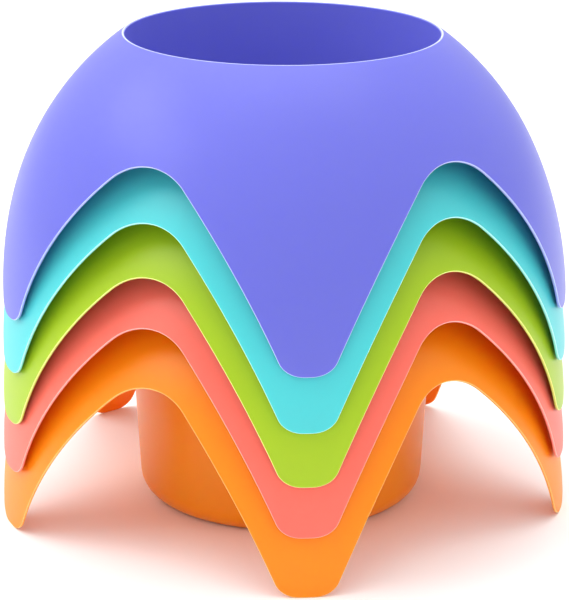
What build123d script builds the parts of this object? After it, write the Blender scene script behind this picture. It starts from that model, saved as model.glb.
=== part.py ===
from build123d import *
from math import cos, radians, sin
import os

# A stack of five drink holders from one mould, nested one over another. Each is one thin moulding:
# a tapered cup well, a sharp rim, and a domed skirt cut by five arches into five legs. The skirts
# lower in the stack are opened a little by the ones pressed over them.
# Millimetres and degrees, +Z up. The origin is on the stack's axis, on the ground it stands on.

# Driving dimensions: the stack, from the ground up
holder_names = ("orange_holder", "pink_holder", "green_holder", "teal_holder", "purple_holder")
nest_rises = (14.5, 12.2, 12.9, 13.2)  # each holder wedges on the one below at its own depth
skirt_splays = (1.0, 0.7, 0.45, 0.25, 0.0)  # how far each skirt is opened about its mouth

# Driving dimensions: the domed skirt
widest_radius = 70.5  # outside of the dome where its wall stands upright
widest_depth = 3.6  # that place is below the ground, so the legs still lean in at their tips
side_radius = 95.0  # arc of the dome's steep side
side_angle = 25.4  # lean from upright where the shoulder takes over
shoulder_radius = 70.5  # arc of the dome from there to the rim
shoulder_angle = 36.0  # further turn of that arc, which ends inside the mouth
skirt_wall = 0.7

# Driving dimensions: the cup well and its rim
mouth_radius = 38.2  # inside of the well where it meets the dome
rim_height = 64.6  # ground to the corner that the rim is rounded from
well_taper = 0.057  # radius lost for each millimetre down
well_wall = 0.6
well_floor = 1.2
well_corner = 5.8  # outside rounding between the well's wall and its base
rim_round = 0.45
groove_round = 0.8  # under the rim, between the skirt and the well

# Driving dimensions: the arches and the legs between them
leg_count = 5
front_leg_azimuth = -90.0
arch_height = 43.0
crown_radius = 15.0  # round top of an arch
crown_angle = 42.0  # turn of the crown on each side of its middle
flank_radius = 103.0  # nearly straight sides of an arch
flank_angle = 28.0  # turn of a flank, which ends below the ground
tip_round = 5.5  # corners of the leg tips
edge_round = 0.2  # long edges of the arches
cutter_start = 43.0  # distance of the arch cutter from the axis, outside the well
cutter_end = 75.0
cutter_half_width = 46.0  # reaches past the middle of the legs on both sides
cutter_depth = 10.0  # below the ground, where the cutter trims the legs level


def well_radius(wall, height):
    """Radius of the well at a height, at its inner face or a wall's thickness outside it."""
    return mouth_radius + wall - well_taper * (rim_height - height)


def shell_section(splay):
    """Section of the shell from the axis out: skirt, rim, well and base, with rounded corners."""
    mouth = Vector(mouth_radius, rim_height)
    upright = Vector(0, 1).rotate(Axis.Z, splay)
    with BuildSketch() as section:
        for wall, mode in ((0, Mode.ADD), (skirt_wall, Mode.SUBTRACT)):
            widest = Vector(widest_radius - wall, -widest_depth)
            start = mouth + (widest - mouth).rotate(Axis.Z, splay)
            with BuildLine():
                side = JernArc(start, upright, side_radius - wall, side_angle)
                shoulder = JernArc(side @ 1, side % 1, shoulder_radius - wall, shoulder_angle)
                Polyline(shoulder @ 1, (0, (shoulder @ 1).Y), (0, start.Y), start)
            make_face(mode=mode)
        outside = (well_wall, 0, rim_height - skirt_wall, Mode.ADD)
        inside = (0, well_floor, rim_height + skirt_wall + well_corner, Mode.SUBTRACT)
        for wall, bottom, top, mode in (outside, inside):
            with BuildLine():
                slope = Line((well_radius(wall, bottom), bottom), (well_radius(wall, top), top))
                Polyline(slope @ 1, (0, top), (0, bottom), slope @ 0)
            make_face(mode=mode)
        rim, groove = section.vertices().sort_by(Axis.Y)[-1:-3:-1]
        fillet(rim, rim_round)
        fillet(groove, groove_round)
        base_corners = ((well_wall, 0, well_corner), (0, well_floor, well_corner - well_wall))
        for wall, height, radius in base_corners:
            corner = section.vertices().sort_by_distance((well_radius(wall, height), height))[0]
            fillet(corner, radius)
    return section.sketch


def arch_outline():
    """Outline of one arch, with the ground level beside it and the leg tips rounded."""
    with BuildSketch() as outline:
        with BuildLine():
            crown = JernArc((0, arch_height), (1, 0), crown_radius, -crown_angle)
            flank = JernArc(crown @ 1, crown % 1, flank_radius, -flank_angle)
            foot = (flank @ 1).Y
            Polyline(flank @ 1, (0, foot), (0, arch_height))
        make_face()
        mirror(about=Plane.YZ)
        Rectangle(2 * cutter_half_width, cutter_depth, align=(Align.CENTER, Align.MAX))
        at_ground = outline.vertices().filter_by_position(Axis.Y, -0.01, 0.01)
        fillet(at_ground.sort_by_distance((0, 0))[:2], tip_round)
    return outline.sketch


def arch_planes(base):
    """One plane for each arch, half way between two legs, facing out from the axis."""
    first = front_leg_azimuth + 180 / leg_count
    azimuths = [radians(first + 360 / leg_count * index) for index in range(leg_count)]
    directions = [Vector(cos(azimuth), sin(azimuth), 0) for azimuth in azimuths]
    return [
        Plane(
            origin=direction * cutter_start + Vector(0, 0, base),
            x_dir=Vector(0, 0, 1).cross(direction),
            z_dir=direction,
        )
        for direction in directions
    ]


def make_holder(name, base, splay):
    """One holder with its leg tips at the height of its base, written as its own STEP file."""
    with BuildPart() as holder:
        with BuildSketch(Plane.XZ.shift_origin((0, 0, base))):
            add(shell_section(splay))
        revolve(axis=Axis.Z)
        with BuildSketch(*arch_planes(base)):
            add(arch_outline())
        extrude(amount=cutter_end - cutter_start, mode=Mode.SUBTRACT)
        arch_faces = holder.faces(Select.LAST).filter_by(GeomType.REVOLUTION, reverse=True)
        arch_edges = arch_faces.edges().filter_by(GeomType.LINE, reverse=True)
        fillet(arch_edges, edge_round)
    holder.part.label = name
    export_step(holder.part, f"parts/{name}.step")


os.makedirs("parts", exist_ok=True)
for index, (holder_name, splay) in enumerate(zip(holder_names, skirt_splays)):
    make_holder(holder_name, sum(nest_rises[:index]), splay)
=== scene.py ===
from math import asin, atan2, cos, hypot, pi, radians, sin, sqrt

import bpy
import numpy as np
from mathutils import Euler, Matrix, Vector


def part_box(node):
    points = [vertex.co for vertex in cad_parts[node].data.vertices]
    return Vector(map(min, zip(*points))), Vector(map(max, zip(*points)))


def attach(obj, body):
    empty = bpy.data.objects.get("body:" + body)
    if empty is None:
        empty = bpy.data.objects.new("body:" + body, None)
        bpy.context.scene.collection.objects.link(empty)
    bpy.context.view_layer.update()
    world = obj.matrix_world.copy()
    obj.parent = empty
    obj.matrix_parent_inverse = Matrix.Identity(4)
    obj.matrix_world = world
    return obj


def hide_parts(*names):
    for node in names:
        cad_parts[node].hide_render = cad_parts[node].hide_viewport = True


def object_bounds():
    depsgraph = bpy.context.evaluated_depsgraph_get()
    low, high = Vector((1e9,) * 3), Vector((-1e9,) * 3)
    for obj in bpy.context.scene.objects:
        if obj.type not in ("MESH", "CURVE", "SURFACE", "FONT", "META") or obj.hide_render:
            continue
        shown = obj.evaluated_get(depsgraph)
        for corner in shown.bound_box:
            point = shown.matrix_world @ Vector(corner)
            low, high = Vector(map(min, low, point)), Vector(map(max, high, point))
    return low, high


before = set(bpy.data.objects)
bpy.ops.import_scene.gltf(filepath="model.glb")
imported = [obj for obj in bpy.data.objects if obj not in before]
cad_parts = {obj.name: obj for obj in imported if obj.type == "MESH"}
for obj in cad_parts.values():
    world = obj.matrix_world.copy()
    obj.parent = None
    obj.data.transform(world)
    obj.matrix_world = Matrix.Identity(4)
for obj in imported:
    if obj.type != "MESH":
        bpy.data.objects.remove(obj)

# A stack of five nested drink holders in satin plastic. Each CAD holder is rebuilt as one clean
# mesh of the same shape, whose rows of faces follow the arches, so that edges and gloss are smooth.

cad_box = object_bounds()
MM = 0.001

# The shape of one holder, in millimetres above its leg tips: the same values as the CAD part
WIDEST_RADIUS = 70.5
WIDEST_DEPTH = 3.6
SIDE_RADIUS = 95.0
SIDE_LEAN = radians(25.4)
SHOULDER_RADIUS = 70.5
SKIRT_WALL = 0.7
MOUTH_RADIUS = 38.2
RIM_HEIGHT = 64.6
WELL_TAPER = 0.057
WELL_WALL = 0.6
WELL_FLOOR = 1.2
WELL_CORNER = 5.8
RIM_ROUND = 0.45
GROOVE_ROUND = 0.8
LEGS = 5
FRONT_LEG = radians(-90)
ARCH_HEIGHT = 43.0
CROWN_RADIUS = 15.0
CROWN_TURN = radians(42)
FLANK_RADIUS = 103.0
TIP_ROUND = 5.5
EDGE_ROUND = 0.2

# How finely a holder is meshed
CROWN_STEPS = 12
FLANK_STEPS = 22
TIP_STEPS = 9
DOME_ROWS = 30
EDGE_STEPS = 4
RIM_STEPS = 8
WELL_ROWS = 24
CORNER_STEPS = 8
FLOOR_ROWS = 8
BESIDE_EDGE = 0.1  # from the end of a rounding to the next row of faces

# How much painted highlight each row of the skirt's outer and inner roundings, and of the rim's
# rounding, gets, from the edge face to the wall: the colour is lightened there to paint the bright
# line that light makes along the edges
OUTER_PAINTED_HIGHLIGHT = (0.6, 1.0, 1.0, 0.6, 0.0)
INNER_PAINTED_HIGHLIGHT = (0.0, 0.1, 0.2, 0.3, 0.4)
RIM_PAINTED_HIGHLIGHT = (0.0, 0.6, 1.0, 1.0, 0.8, 0.4, 0.2, 0.0, 0.0)

wall_slope = atan2(WELL_TAPER, 1)


class Dome:
    """The domed face of a skirt, opened by its splay about the mouth."""

    def __init__(self, splay):
        side = (WIDEST_RADIUS - SIDE_RADIUS, -WIDEST_DEPTH)
        shift = SIDE_RADIUS - SHOULDER_RADIUS
        shoulder = (side[0] + shift * cos(SIDE_LEAN), side[1] + shift * sin(SIDE_LEAN))
        self.side = self.opened(side, splay)
        self.shoulder = self.opened(shoulder, splay)
        self.join_lean = SIDE_LEAN + splay
        self.join_height = self.side[1] + SIDE_RADIUS * sin(self.join_lean)

    @staticmethod
    def opened(point, splay):
        """A point of the section, turned about the mouth."""
        out, up = point[0] - MOUTH_RADIUS, point[1] - RIM_HEIGHT
        return (
            MOUTH_RADIUS + out * cos(splay) - up * sin(splay),
            RIM_HEIGHT + out * sin(splay) + up * cos(splay),
        )

    def point(self, lean, inside=0.0):
        """(radius, height) where the wall leans that far in, on a face at a depth inside it."""
        if lean < self.join_lean:
            arc_radius, centre = SIDE_RADIUS - inside, self.side
        else:
            arc_radius, centre = SHOULDER_RADIUS - inside, self.shoulder
        return centre[0] + arc_radius * cos(lean), centre[1] + arc_radius * sin(lean)

    def lean(self, height):
        """Lean of the outer face at a height."""
        if height < self.join_height:
            return asin((height - self.side[1]) / SIDE_RADIUS)
        return asin((height - self.shoulder[1]) / SHOULDER_RADIUS)

    def rounding(self, wall, distance, arc_radius):
        """Centre of a rounding at a distance outside a face of the well, on a circle about the
        shoulder's centre, and its lean from there."""
        length = hypot(1, WELL_TAPER)
        along = (WELL_TAPER / length, 1 / length)
        across = (1 / length, -WELL_TAPER / length)
        base = (
            MOUTH_RADIUS + wall + across[0] * distance - self.shoulder[0],
            RIM_HEIGHT + across[1] * distance - self.shoulder[1],
        )
        middle = base[0] * along[0] + base[1] * along[1]
        travel = sqrt(middle**2 - base[0] ** 2 - base[1] ** 2 + arc_radius**2) - middle
        offset = (base[0] + travel * along[0], base[1] + travel * along[1])
        centre = (offset[0] + self.shoulder[0], offset[1] + self.shoulder[1])
        return centre, atan2(offset[1], offset[0])


def unit(v):
    """Vectors in rows, made one long."""
    return v / np.linalg.norm(v, axis=-1, keepdims=True)


def well_radius(height, wall=0.0):
    """Radius of the well's inner face at a height, or of a face outside it."""
    return MOUTH_RADIUS + wall - WELL_TAPER * (RIM_HEIGHT - height)


def arch_points():
    """Half an arch's outline as (distance from the arch's middle, height), from its top to the
    ground where the leg tip is level, seen straight along the arch."""
    points = [
        (CROWN_RADIUS * sin(turn), ARCH_HEIGHT - CROWN_RADIUS * (1 - cos(turn)))
        for turn in np.linspace(0, CROWN_TURN, CROWN_STEPS + 1)
    ]
    flank_x = points[-1][0] - FLANK_RADIUS * sin(CROWN_TURN)
    flank_z = points[-1][1] - FLANK_RADIUS * cos(CROWN_TURN)
    tip_x = flank_x + sqrt((FLANK_RADIUS + TIP_ROUND) ** 2 - (TIP_ROUND - flank_z) ** 2)
    end_turn = atan2(tip_x - flank_x, TIP_ROUND - flank_z)
    for turn in np.linspace(CROWN_TURN, end_turn, FLANK_STEPS + 1)[1:]:
        points.append((flank_x + FLANK_RADIUS * sin(turn), flank_z + FLANK_RADIUS * cos(turn)))
    for turn in np.linspace(end_turn, 0, TIP_STEPS + 1)[1:]:
        points.append((tip_x - TIP_ROUND * sin(turn), TIP_ROUND - TIP_ROUND * cos(turn)))
    return points


def edge_ring(dome):
    """The skirt's edge all the way round, as (azimuth, height) of its sharp outer corner."""
    half_pitch = pi / LEGS
    half = [(asin(x / dome.point(dome.lean(z))[0]), z) for x, z in arch_points()]
    half.append((half_pitch, 0.0))
    leg = [(half_pitch - azimuth, z) for azimuth, z in reversed(half)]
    leg += [(half_pitch + azimuth, z) for azimuth, z in half[1:-1]]
    return np.array(
        [
            (FRONT_LEG + 2 * half_pitch * index + azimuth, z)
            for index in range(LEGS)
            for azimuth, z in leg
        ]
    )


def arc(centre, radius, start, end, steps):
    """Rows along an arc in the section, as (radius, height, and its direction from the centre)."""
    return [
        (centre[0] + radius * cos(a), centre[1] + radius * sin(a), cos(a), sin(a))
        for a in np.linspace(start, end, steps + 1)
    ]


def well_section(start, bottom, corner, wall, sign):
    """Rows down a face of the well from a start height, round its corner and in to the middle.
    sign is 1 on the outside of the plastic and -1 on the inside."""
    end = bottom + corner * (1 - sin(wall_slope))
    normal = (sign * cos(wall_slope), -sign * sin(wall_slope))
    heights = [start - BESIDE_EDGE, *np.linspace(start, end, WELL_ROWS + 1)[1:]]
    rows = [(well_radius(z, wall), z, *normal) for z in heights]
    centre = (well_radius(end, wall) - corner * cos(wall_slope), bottom + corner)
    for r, z, nr, nz in arc(centre, corner, -wall_slope, -pi / 2, CORNER_STEPS)[1:]:
        rows.append((r, z, sign * nr, sign * nz))
    for share in np.linspace(1, 0, FLOOR_ROWS + 1)[1:-1]:
        rows.append((centre[0] * share, bottom, 0.0, -sign))
    return rows


def ring_rows(section, azimuths):
    """Points and normals of section rows, turned round the axis."""
    c, s = np.cos(azimuths), np.sin(azimuths)
    rows = []
    for r, z, nr, nz in section:
        points = np.stack([r * c, r * s, np.full_like(c, z)], axis=1)
        normals = np.stack([nr * c, nr * s, np.full_like(c, nz)], axis=1)
        rows.append((points, normals))
    return rows


def skirt_rows(dome, ring, even_azimuths, groove_lean, rim_lean):
    """Rows of the skirt, from the groove under the rim down its inner face, round its edge and up
    its outer face to the rim. Each is (points, normals, how much painted highlight it gets as an
    edge)."""
    heights = ring[:, 1]
    leans = np.array([dome.lean(z) for z in heights])
    radii = np.array([dome.point(lean)[0] for lean in leans])
    c, s = np.cos(ring[:, 0]), np.sin(ring[:, 0])
    edge = np.stack([radii * c, radii * s, heights], axis=1)
    out = np.stack([np.cos(leans) * c, np.cos(leans) * s, np.sin(leans)], axis=1)
    along = unit(np.roll(edge, -1, axis=0) - np.roll(edge, 1, axis=0))
    inward = unit(np.cross(out, along))
    inward *= np.sign(inward[:, 2:3] + 1e-9)

    def face_rows(depth, last_lean):
        """Rows from beside the edge up to the last lean, on a face at a depth in the wall."""
        start = edge + inward * (EDGE_ROUND + BESIDE_EDGE)
        start_azimuths = np.unwrap(np.arctan2(start[:, 1], start[:, 0]))
        start_leans = np.array([dome.lean(z) for z in start[:, 2]])
        rows = []
        for share in np.linspace(0, 1, DOME_ROWS + 1):
            ease = share * share * (3 - 2 * share)
            azimuths = start_azimuths + (even_azimuths - start_azimuths) * ease
            row_leans = start_leans + (last_lean - start_leans) * share
            flat = np.array([dome.point(lean, depth) for lean in row_leans])
            ca, sa, cl = np.cos(azimuths), np.sin(azimuths), np.cos(row_leans)
            points = np.stack([flat[:, 0] * ca, flat[:, 0] * sa, flat[:, 1]], axis=1)
            normals = np.stack([cl * ca, cl * sa, np.sin(row_leans)], axis=1)
            rows.append((points, normals))
        return rows

    rows = [(p, -n, 0.0) for p, n in reversed(face_rows(SKIRT_WALL, groove_lean))]
    inner_centre = edge + inward * EDGE_ROUND - out * (SKIRT_WALL - EDGE_ROUND)
    outer_centre = edge + inward * EDGE_ROUND - out * EDGE_ROUND
    turns = np.linspace(pi / 2, 0, EDGE_STEPS + 1)
    # Painted highlight: each row of the edge roundings gets an amount by which its colour is
    # lightened
    for turn, painted_highlight in zip(turns, INNER_PAINTED_HIGHLIGHT):
        normal = -inward * cos(turn) - out * sin(turn)
        rows.append((inner_centre + normal * EDGE_ROUND, normal, painted_highlight))
    for turn, painted_highlight in zip(turns, OUTER_PAINTED_HIGHLIGHT):
        normal = -inward * sin(turn) + out * cos(turn)
        rows.append((outer_centre + normal * EDGE_ROUND, normal, painted_highlight))
    rows += [(p, n, 0.0) for p, n in face_rows(0.0, rim_lean)]
    for points, _, _ in rows:
        points[:, 2] = np.maximum(points[:, 2], 0.0)
    return rows


def holder_rows(splay):
    """All rows of one holder, from the middle of the underside to the middle of the cup's floor."""
    dome = Dome(splay)
    groove_radius = SHOULDER_RADIUS - SKIRT_WALL - GROOVE_ROUND
    groove_centre, groove_lean = dome.rounding(WELL_WALL, GROOVE_ROUND, groove_radius)
    rim_centre, rim_lean = dome.rounding(0, RIM_ROUND, SHOULDER_RADIUS - RIM_ROUND)
    ring = edge_ring(dome)
    even = ring[0, 0] + 2 * pi * np.arange(len(ring)) / len(ring)
    sparse = even[::2]
    groove = arc(groove_centre, GROOVE_ROUND, groove_lean, pi - wall_slope, RIM_STEPS)
    groove = [(r, z, -nr, -nz) for r, z, nr, nz in groove]
    under = well_section(groove[-1][1], 0.0, WELL_CORNER, WELL_WALL, 1)
    rim = arc(rim_centre, RIM_ROUND, rim_lean, pi - wall_slope, RIM_STEPS)
    over = well_section(rim[-1][1], WELL_FLOOR, WELL_CORNER - WELL_WALL, 0.0, -1)
    rows = [(p, n, 0.0) for p, n in reversed(ring_rows(under, sparse))]
    rows += [(p, n, 0.0) for p, n in reversed(ring_rows(groove[1:], even))]
    rows += skirt_rows(dome, ring, even, groove_lean, rim_lean)
    # The rim's rounding gets painted highlight too, lightening its colour along the mouth
    rows += [(p, n, painted_highlight) for (p, n), painted_highlight in zip(ring_rows(rim[1:], even), RIM_PAINTED_HIGHLIGHT[1:])]
    rows += [(p, n, 0.0) for p, n in ring_rows(over, sparse)]
    return rows


def bridge(a, b, start_a, start_b):
    """Faces between two rings of the same or of half or double the count, wound outwards."""
    faces = []
    if a == b:
        for i in range(a):
            j = (i + 1) % a
            faces.append((start_a + i, start_a + j, start_b + j, start_b + i))
        return faces
    if a > b:
        for i in range(b):
            j = (i + 1) % b
            k = (2 * i + 2) % a
            faces.append((start_a + 2 * i, start_a + 2 * i + 1, start_b + i))
            faces.append((start_a + 2 * i + 1, start_a + k, start_b + j, start_b + i))
        return faces
    for i in range(a):
        j = (i + 1) % a
        k = (2 * i + 2) % b
        faces.append((start_a + i, start_b + 2 * i + 1, start_b + 2 * i))
        faces.append((start_a + i, start_a + j, start_b + k, start_b + 2 * i + 1))
    return faces


def holder_mesh(name, base, splay):
    """One holder as a closed mesh with its leg tips at a height, in metres."""
    rows = holder_rows(splay)
    points = [np.array([[0.0, 0.0, 0.0]])]
    normals = [np.array([[0.0, 0.0, -1.0]])]
    edge = [[0.0]]
    starts, counts = [], []
    total = 1
    for p, n, share in rows:
        starts.append(total)
        counts.append(len(p))
        points.append(p)
        normals.append(n)
        edge.append([share] * len(p))
        total += len(p)
    points.append(np.array([[0.0, 0.0, WELL_FLOOR]]))
    normals.append(np.array([[0.0, 0.0, 1.0]]))
    edge.append([0.0])
    faces = [(0, starts[0] + (i + 1) % counts[0], starts[0] + i) for i in range(counts[0])]
    for k in range(len(rows) - 1):
        faces += bridge(counts[k], counts[k + 1], starts[k], starts[k + 1])
    last, count = starts[-1], counts[-1]
    faces += [(total, last + i, last + (i + 1) % count) for i in range(count)]
    mesh = bpy.data.meshes.new(name)
    coordinates = np.concatenate(points) * MM + np.array([0.0, 0.0, base])
    mesh.from_pydata(coordinates.tolist(), [], faces)
    mesh.polygons.foreach_set("use_smooth", [True] * len(mesh.polygons))
    # The edge attribute holds how much painted highlight each vertex gets
    painted_highlight = mesh.attributes.new("edge", "FLOAT", "POINT")
    painted_highlight.data.foreach_set("value", np.concatenate(edge))
    mesh.normals_split_custom_set_from_vertices(unit(np.concatenate(normals)).tolist())
    mesh.update()
    return mesh


# The five plastics: how far the skirt is opened, body colour, and the lighter tint painted on its
# edges as a highlight
HOLDERS = {
    "purple": (0.0, (0.145, 0.153, 0.64), (0.62, 0.68, 1.0)),
    "teal": (0.25, (0.078, 0.61, 0.64), (0.60, 1.0, 1.0)),
    "green": (0.45, (0.38, 0.56, 0.012), (0.90, 1.0, 0.35)),
    "pink": (0.7, (1.0, 0.165, 0.120), (1.0, 0.52, 0.48)),
    "orange": (1.0, (1.0, 0.265, 0.003), (1.0, 0.56, 0.20)),
}

DARKER = 0.965  # the two ends of the faint shading in the plastic
LIGHTER = 1.03
REACH_BASE = 0.0002  # how far light goes into the plastic in metres, further in its own colour
REACH_COLOUR = 0.0015


def node(tree, kind, **values):
    """A shader node with some of its settings and input values."""
    made = tree.nodes.new(kind)
    for key, value in values.items():
        if hasattr(made, key):
            setattr(made, key, value)
        else:
            made.inputs[key.replace("_", " ")].default_value = value
    return made


def plastic(name, body, painted_highlight_tint):
    """Satin moulded plastic, coloured through: faint flow shading, fine grain, and a painted
    highlight that lightens the edges.
    """
    radius = tuple(REACH_BASE + REACH_COLOUR * v for v in body)
    material = bpy.data.materials.new(name)
    material.use_nodes = True
    tree = material.node_tree
    shader = tree.nodes["Principled BSDF"]
    place = node(tree, "ShaderNodeTexCoord")
    flow = node(tree, "ShaderNodeTexNoise", Scale=22.0, Detail=3.0, Roughness=0.5)
    tree.links.new(place.outputs["Object"], flow.inputs["Vector"])
    shade = node(tree, "ShaderNodeMix", data_type="RGBA")
    shade.inputs["A"].default_value = (*(DARKER * v for v in body), 1)
    shade.inputs["B"].default_value = (*(min(1.0, LIGHTER * v) for v in body), 1)
    tree.links.new(flow.outputs["Fac"], shade.inputs["Factor"])
    # Painted highlight: the edge attribute mixes the colour toward the lighter tint along the
    # rounded edges
    edge = node(tree, "ShaderNodeAttribute", attribute_name="edge")
    paint_highlight = node(tree, "ShaderNodeMix", data_type="RGBA")
    paint_highlight.inputs["B"].default_value = (*painted_highlight_tint, 1)
    tree.links.new(edge.outputs["Fac"], paint_highlight.inputs["Factor"])
    tree.links.new(shade.outputs["Result"], paint_highlight.inputs["A"])
    tree.links.new(paint_highlight.outputs["Result"], shader.inputs["Base Color"])
    grain = node(tree, "ShaderNodeTexNoise", Scale=2600.0, Detail=2.0, Roughness=0.6)
    tree.links.new(place.outputs["Object"], grain.inputs["Vector"])
    polish = node(tree, "ShaderNodeMapRange", To_Min=0.32, To_Max=0.42)
    tree.links.new(flow.outputs["Fac"], polish.inputs["Value"])
    tree.links.new(polish.outputs["Result"], shader.inputs["Roughness"])
    bump = node(tree, "ShaderNodeBump", Strength=0.05, Distance=0.0002)
    tree.links.new(grain.outputs["Fac"], bump.inputs["Height"])
    tree.links.new(bump.outputs["Normal"], shader.inputs["Normal"])
    shader.inputs["IOR"].default_value = 1.5
    shader.inputs["Specular IOR Level"].default_value = 0.3
    shader.inputs["Subsurface Weight"].default_value = 0.5
    shader.inputs["Subsurface Radius"].default_value = radius
    shader.inputs["Subsurface Scale"].default_value = 1.0
    return material


def make_holder(colour, splay, body, painted_highlight_tint):
    """The visual holder that stands for one CAD holder."""
    cad_node = f"{colour}_holder"
    name = f"{colour}_shell"
    mesh = holder_mesh(name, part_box(cad_node)[0].z, radians(splay))
    mesh.materials.append(plastic(f"{colour}_plastic", body, painted_highlight_tint))
    piece = bpy.data.objects.new(name, mesh)
    bpy.context.scene.collection.objects.link(piece)
    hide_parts(cad_node)
    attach(piece, colour)


for holder_colour, (opening, body_colour, painted_tint) in HOLDERS.items():
    make_holder(holder_colour, opening, body_colour, painted_tint)

# The studio: a white floor, a sky that is brighter above, and two softboxes
FLOOR_HALF = 3.0
SKY_HORIZON = 0.75
SKY_TOP = 1.3
floor_corners = [
    (x * FLOOR_HALF, y * FLOOR_HALF, cad_box[0][2]) for x, y in ((-1, -1), (1, -1), (1, 1), (-1, 1))
]
floor_mesh = bpy.data.meshes.new("floor")
floor_mesh.from_pydata(floor_corners, [], [(0, 1, 2, 3)])
floor_material = bpy.data.materials.new("studio_floor")
floor_material.use_nodes = True
floor_shader = floor_material.node_tree.nodes["Principled BSDF"]
floor_shader.inputs["Base Color"].default_value = (0.97, 0.97, 0.97, 1)
floor_shader.inputs["Roughness"].default_value = 0.6
floor_mesh.materials.append(floor_material)
floor = bpy.data.objects.new("floor", floor_mesh)
bpy.context.scene.collection.objects.link(floor)

world = bpy.data.worlds.new("studio")
world.use_nodes = True
sky_tree = world.node_tree
sky_place = node(sky_tree, "ShaderNodeTexCoord")
sky_split = node(sky_tree, "ShaderNodeSeparateXYZ")
sky_strength = node(sky_tree, "ShaderNodeMapRange", To_Min=SKY_HORIZON, To_Max=SKY_TOP)
sky_tree.links.new(sky_place.outputs["Generated"], sky_split.inputs["Vector"])
sky_tree.links.new(sky_split.outputs["Z"], sky_strength.inputs["Value"])
sky_tree.links.new(
    sky_strength.outputs["Result"], sky_tree.nodes["Background"].inputs["Strength"]
)
sky_tree.nodes["Background"].inputs["Color"].default_value = (1, 1, 1, 1)
bpy.context.scene.world = world


LIGHT_TARGET = Vector((0, 0, 0.09))


def softbox(name, position, width, height, power):
    """A rectangular area light that faces a point of the stack."""
    data = bpy.data.lights.new(name, "AREA")
    data.shape = "RECTANGLE"
    data.size = width
    data.size_y = height
    data.energy = power
    lamp = bpy.data.objects.new(name, data)
    lamp.location = position
    lamp.rotation_euler = (LIGHT_TARGET - Vector(position)).to_track_quat("-Z", "Y").to_euler()
    bpy.context.scene.collection.objects.link(lamp)


softbox("key", (-0.90, 0.05, 0.95), 1.1, 0.35, 5.0)
softbox("overhead", (0.0, 0.25, 1.30), 1.2, 1.2, 9.0)

# The camera, in front of the stack, a little to the left and above
CAMERA_DISTANCE = 0.6409
CAMERA_TURN = radians(-4.969)
CAMERA_RISE = radians(16.832)
CAMERA_PITCH = radians(17.432)
CAMERA_ROLL = radians(0.25)
AIM_HEIGHT = 0.056
FOCAL_SHARE = 2579.3 / 600  # focal length over the height of the picture
camera_data = bpy.data.cameras.new("camera")
camera_data.sensor_width = 36.0
camera_data.lens = camera_data.sensor_width * FOCAL_SHARE
camera_data.shift_x = 0.005
camera_data.clip_start = 0.01
camera = bpy.data.objects.new("camera", camera_data)
level = CAMERA_DISTANCE * cos(CAMERA_RISE)
camera.location = (
    level * sin(CAMERA_TURN),
    -level * cos(CAMERA_TURN),
    AIM_HEIGHT + CAMERA_DISTANCE * sin(CAMERA_RISE),
)
tilt = Euler((pi / 2 - CAMERA_PITCH, 0, CAMERA_TURN)).to_matrix()
camera.rotation_euler = (tilt @ Matrix.Rotation(CAMERA_ROLL, 3, "Z")).to_euler()
bpy.context.scene.collection.objects.link(camera)
bpy.context.scene.camera = camera
bpy.context.scene.view_settings.view_transform = "Standard"
